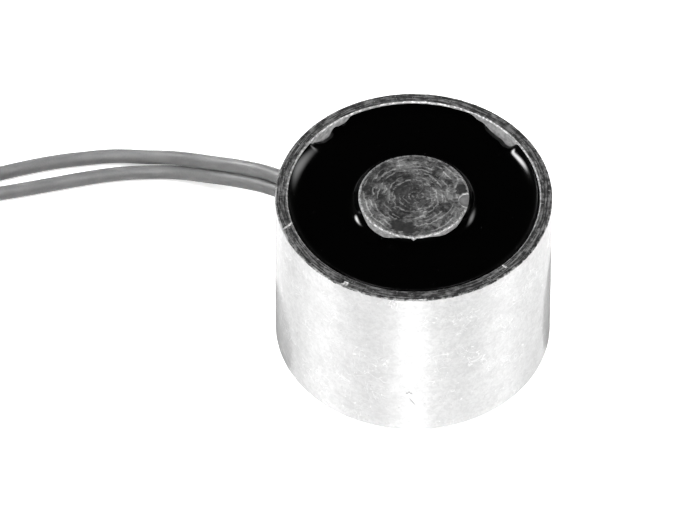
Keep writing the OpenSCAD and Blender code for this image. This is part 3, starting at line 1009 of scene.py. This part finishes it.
class MAGNET_OT_leads(bpy.types.Operator):
    """Lays both leads from their splices to the tied coil, and strips and tins their ends"""

    bl_idname = "magnet.leads"
    bl_label = "Leads"

    def execute(self, context):
        lead, pot = settings("lead"), settings("pot")
        skin = lead_insulation(lead)
        tinned = plain_metal("tinned_strands", list(lead.tinned), 0.12 * MM, 0.25)
        for k, (route, turn) in enumerate(((ROUTE_1, -1), (ROUTE_2, 1))):
            z = pot.exit_z + (k - 0.5) * lead.pitch
            coil = coil_line(lead, k)
            line = inner_line(lead, turn, z) + [Vector(p) for p in route] + coil
            cord = tube(f"lead_{k + 1}_cord", [line], lead.diameter)
            cord.data.materials.append(skin)
            end = self.strip(lead, k, coil, tinned)
            place_on_body(cord, "lead_insulation", f"lead_{k + 1}", "lead_coil", group=LEADS)
            place_on_body(end, "tinned_strands", f"bare_end_{k + 1}", group=LEADS)
        return {"FINISHED"}

    def strip(self, lead, k, coil, finish, strands=6, lay=5.5 * MM, knots=16):
        """A bare conductor: strands twisted round a middle one, which goes on along the coil's curve."""
        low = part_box(f"bare_end_{k + 1}")[0].z + lead.strand_d / 2
        middle = Vector((COIL_AT.x, COIL_AT.y, 0))
        start = coil[-1] - middle
        start_r = math.hypot(start.x, start.y)
        start_bearing = math.degrees(math.atan2(start.y, start.x))
        fine = lead.strand_d / 3
        lines = [[] for _ in range(strands + 1)]
        for i in range(knots + 1):
            along = lead.bare * i / knots
            settled = smooth(i / knots * 2)
            radius = start_r + (lead.end_r - start_r) * settled
            bearing = start_bearing + math.degrees(along / ((start_r + lead.end_r) / 2))
            centre = middle + polar(radius, bearing, start.z + (low - start.z) * settled)
            across = polar(1, bearing, 0)
            lines[0].append(centre)
            for s in range(strands):
                a = 2 * math.pi * (s / strands + along / lay)
                lines[s + 1].append(centre + across * fine * math.cos(a) + Vector((0, 0, fine * math.sin(a))))
        piece = tube(f"stripped_end_{k + 1}", lines, fine, 2)
        pick(piece)
        bpy.ops.object.convert(target="MESH")
        piece = bpy.context.object
        piece.data.materials.append(finish)
        settle(piece, 60)
        return piece


class MAGNET_OT_tie(bpy.types.Operator):
    """Ties the coil with a plastic strip, its ends twisted together"""

    bl_idname = "magnet.tie"
    bl_label = "Tie"

    def execute(self, context):
        tie, lead = settings("tie"), settings("lead")
        coil_out = lead.coil_r + lead.diameter / 2
        coil_in = lead.coil_r - lead.turns * lead.pitch - lead.diameter / 2
        left = math.sqrt(coil_in ** 2 - (tie.width / 2) ** 2) - tie.clear
        right = coil_out + tie.clear
        low, high = COIL_LOW.z - tie.clear, COIL_HIGH.z + tie.clear
        strip = self.strip(tie, left, right, low, high)
        twist = self.twist(tie, (left + right) / 2, high)
        fresh()
        twist.select_set(True)
        strip.select_set(True)
        bpy.context.view_layer.objects.active = strip
        bpy.ops.object.join()
        strip.rotation_euler = Euler((0, 0, tie.bearing))
        strip.location = (COIL_AT.x, COIL_AT.y, 0)
        settle(strip)
        strip.data.materials.append(moulded("tie_plastic", list(tie.strip), 0.35, 0.1 * MM))
        place_on_body(strip, "tie_plastic", "coil_tie")
        return {"FINISHED"}

    def strip(self, tie, left, right, low, high, corner=0.6 * MM, rows=8):
        """A band bent round the coil's section, with a rib along its middle for the wire inside it."""
        loop = eased([(left, low), (right, low), (right, high), (left, high)], corner, 6)
        piece = drawn("coil_strip", loop + loop[:1], -tie.width / 2)
        bpy.ops.mesh.remove_doubles(threshold=HAIR)
        for _ in range(rows):
            bpy.ops.mesh.extrude_edges_move(TRANSFORM_OT_translate={"value": (0, tie.width / rows, 0)})
        close_up()
        choose(piece, lambda co: abs(co.y) < NEAR and co.z > low + tie.thickness)
        bpy.ops.transform.shrink_fatten(value=tie.rib)
        bpy.ops.object.mode_set(mode="OBJECT")
        bpy.ops.object.modifier_add(type="SOLIDIFY")
        wall = piece.modifiers[-1]
        wall.thickness = tie.thickness
        wall.offset = 1
        bpy.ops.object.modifier_apply(modifier=wall.name)
        return piece

    def twist(self, tie, x, z, steps=36, turns=2.5):
        """The strip's two ends, twisted together along the coil's top."""
        fresh()
        bpy.ops.mesh.primitive_plane_add(size=1, rotation=(math.radians(90), 0, 0))
        piece = named("tie_twist")
        piece.scale = (tie.twist_d * 0.94, 0.4 * tie.twist_d, 1)
        bpy.ops.object.transform_apply(location=False, rotation=True, scale=True)
        middle = (x, -tie.width / 2, z + tie.twist_d / 2)
        bpy.ops.object.mode_set(mode="EDIT")
        bpy.ops.mesh.select_all(action="SELECT")
        bpy.ops.transform.translate(value=middle)
        for k in range(steps):
            bpy.ops.mesh.extrude_region_move(
                TRANSFORM_OT_translate={"value": (0, tie.twist_len / steps, 0)})
            bpy.ops.transform.rotate(
                value=2 * math.pi * turns / steps, orient_axis="Y", center_override=middle)
        close_up()
        bpy.ops.object.mode_set(mode="OBJECT")
        return piece


class MAGNET_OT_inner_pieces(bpy.types.Operator):
    """Finishes the bobbin, its winding and the splices that lie under the resin"""

    bl_idname = "magnet.inner_pieces"
    bl_label = "Inner pieces"

    def execute(self, context):
        finishes = {
            "bobbin": moulded("nylon", (0.72, 0.68, 0.56, 1), 0.4),
            "winding": wound_wire(),
            "winding_tape": moulded("polyester_tape", (0.75, 0.55, 0.12, 1), 0.2, 0.3 * MM),
            "splice": plain_metal("solder", [0.7, 0.7, 0.72, 1], 0.3 * MM, 0.3),
            "splice_sleeve": moulded("sleeving", (0.75, 0.75, 0.72, 1), 0.35),
        }
        for name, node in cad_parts.items():
            finish = finishes.get(name.rstrip("_12"))
            if finish:
                node.data.materials.clear()
                node.data.materials.append(finish)
        return {"FINISHED"}


# Lights: name, direction from the pot, distance, width and height, power, and the only pieces that it lights
LIGHTS = (
    ("left_key", (-0.42, -0.2, 0.9), 0.9, (0.4, 0.4), 5.6, None),
    ("right_key", (0.42, -0.2, 0.9), 0.9, (0.4, 0.4), 5.6, None),
    ("overhead", (0, -0.1, 1), 1.1, (3.2, 3.2), 9.0, None),
    ("front", (0, -0.8, 0.6), 0.8, (0.5, 0.3), 1.6, None),
    ("left_box", (-0.74, 0.24, 0.62), 0.5, (0.16, 0.4), 8.0, RESIN),
    ("right_box", (0.78, 0.34, 0.52), 0.5, (0.26, 0.4), 2.4, RESIN),
    ("lead_light", (-0.1, -0.3, 0.95), 0.6, (0.15, 0.15), 2.2, LEADS),
    ("lead_fill", (-0.1, -0.66, 0.74), 0.6, (0.2, 0.2), 3.0, LEADS),
    ("lead_glint", (-0.665, 0.534, 0.514), 0.6, (0.2, 0.2), 3.8, LEADS),
    ("back_panel", (0, 0.665, 0.747), 0.6, (0.8, 0.6), 0.8, STEEL),
    ("front_window", (0, -0.8, 0.6), 0.6, (0.1, 0.4), 1.15, STEEL),
    ("left_window", (-0.8, -0.35, 0.45), 0.6, (0.22, 0.4), 0.7, STEEL),
    ("right_window", (0.8, -0.35, 0.45), 0.6, (0.22, 0.4), 0.6, STEEL),
    ("left_edge", (-0.79, 0.455, 0.42), 0.6, (0.2, 0.4), 0.4, STEEL))


class MAGNET_OT_stage(bpy.types.Operator):
    """Sets the floor, the lights and the camera"""

    bl_idname = "magnet.stage"
    bl_label = "Stage"

    def execute(self, context):
        stage = settings("stage")
        self.floor(stage)
        self.room(context, stage)
        self.lights()
        self.camera(context, stage)
        context.scene.view_settings.view_transform = "Standard"
        return {"FINISHED"}

    def floor(self, stage):
        """A wide pale floor, just under the foot."""
        fresh()
        bpy.ops.mesh.primitive_plane_add(size=6)
        floor = named("floor")
        finish = Finish("pale_floor", {"Roughness": 0.9, "Specular IOR Level": 0.0})
        grain = finish.noise(4 * MM, 2)
        plain = finish.mix(grain, dimmed(stage.floor, 0.98), stage.floor)
        path = finish.add("LightPath").outputs
        pools = 0
        for spot, radius in FLOOR_SHADE:
            pool = finish.ramp(finish.away(spot), radius - SHADE_EDGE, radius + SHADE_EDGE, 1, 0)
            pools = finish.calc("MAXIMUM", pools, pool)
        shaded = finish.times(path["Is Glossy Ray"], pools)
        finish.set("Base Color", finish.mix(finish.times(shaded, stage.shade), plain, grey(0)))
        seen = finish.times(path["Is Camera Ray"], stage.lift)
        open_floor = finish.calc("SUBTRACT", path["Is Glossy Ray"], shaded)
        mirrored = finish.times(open_floor, stage.sheen)
        finish.set("Emission Color", stage.floor)
        finish.set("Emission Strength", finish.plus(seen, mirrored))
        floor.data.materials.append(finish.material)

    def room(self, context, stage):
        """A dark room, a little paler round the horizon."""
        world = bpy.data.worlds.new("room")
        room = Nodes(world, "TexCoord", "Generated")
        z = room.add("SeparateXYZ", {0: room.place}).outputs[2]
        shade = room.mix(room.ramp(z, 0.05, 0.4), stage.horizon, stage.ceiling)
        room.feed(world.node_tree.nodes["Background"].inputs["Color"], shade)
        context.scene.world = world

    def lights(self):
        """Lights that no mirror shows, and softboxes, windows and lamps for one group of pieces each."""
        groups = {name: bpy.data.collections.new(name) for name in (STEEL, RESIN, LEADS)}
        for name, toward, distance, size, power, seen_by in LIGHTS:
            fresh()
            away = Vector(toward).normalized()
            bpy.ops.object.light_add(
                type="AREA", location=away * distance, rotation=away.to_track_quat("Z", "Y").to_euler())
            lamp = bpy.context.object
            lamp.name = name
            lamp.data.shape = "RECTANGLE"
            lamp.data.size, lamp.data.size_y = size
            lamp.data.energy = power
            lamp.visible_camera = False
            lamp.visible_glossy = bool(seen_by)
            if seen_by:
                lamp.light_linking.receiver_collection = groups[seen_by]
            if seen_by == RESIN:
                self.soften(lamp.data)

    def soften(self, lamp):
        """Lets a softbox fade towards its edges."""
        glow = Nodes(lamp, "NewGeometry", "Parametric")
        reach = glow.measure("DISTANCE", glow.place, (0.5, 0.5, 0))
        glow.feed(lamp.node_tree.nodes["Emission"].inputs["Strength"], glow.ramp(reach, 0.05, 0.5, 1, 0))

    def camera(self, context, stage, sensor=36):
        """A long lens that looks down on the pole face, with the rim where the picture has it."""
        fresh()
        back = Vector((0, -math.cos(stage.elevation), math.sin(stage.elevation)))
        up = Vector((0, math.sin(stage.elevation), math.cos(stage.elevation)))
        pixel = MM / stage.scale
        across = (stage.image_w / 2 - stage.rim_x) * pixel
        down = (stage.image_h / 2 - stage.rim_y) * pixel
        target = Vector((across, 0, POT_H)) - up * down
        bpy.ops.object.camera_add(
            location=target + back * stage.distance, rotation=back.to_track_quat("Z", "Y").to_euler())
        camera = bpy.context.object
        camera.name = "camera"
        camera.data.sensor_width = sensor
        camera.data.lens = sensor * stage.distance / (stage.image_w * pixel)
        camera.data.clip_start = 0.01
        camera.data.clip_end = 20
        context.scene.camera = camera


GROUPS = {"pot": PotSettings, "core": CoreSettings, "resin": ResinSettings,
          "lead": LeadSettings, "tie": TieSettings, "stage": StageSettings}
OPERATORS = (MAGNET_OT_stage, MAGNET_OT_tie, MAGNET_OT_leads, MAGNET_OT_pot, MAGNET_OT_core,
             MAGNET_OT_potting, MAGNET_OT_inner_pieces)


class MAGNET_PT_panel(bpy.types.Panel):
    """Lists the operators that build the magnet"""

    bl_label = "Holding electromagnet"
    bl_space_type = "VIEW_3D"
    bl_region_type = "UI"
    bl_category = "Magnet"

    def draw(self, context):
        for operator in OPERATORS:
            self.layout.operator(operator.bl_idname)


def register():
    """Adds the settings, the operators and the panel."""
    for name, group in GROUPS.items():
        bpy.utils.register_class(group)
        setattr(bpy.types.Scene, "magnet_" + name, PointerProperty(type=group))
    for kind in (*OPERATORS, MAGNET_PT_panel):
        bpy.utils.register_class(kind)


def unregister():
    """Takes away what register added."""
    for kind in (MAGNET_PT_panel, *reversed(OPERATORS)):
        bpy.utils.unregister_class(kind)
    for name, group in GROUPS.items():
        delattr(bpy.types.Scene, "magnet_" + name)
        bpy.utils.unregister_class(group)


def main():
    """Builds every piece in order."""
    register()
    bpy.ops.magnet.stage()
    bpy.ops.magnet.tie()
    bpy.ops.magnet.leads()
    bpy.ops.magnet.pot()
    bpy.ops.magnet.core()
    bpy.ops.magnet.potting()
    bpy.ops.magnet.inner_pieces()
    fresh()


if __name__ == "__main__":
    main()
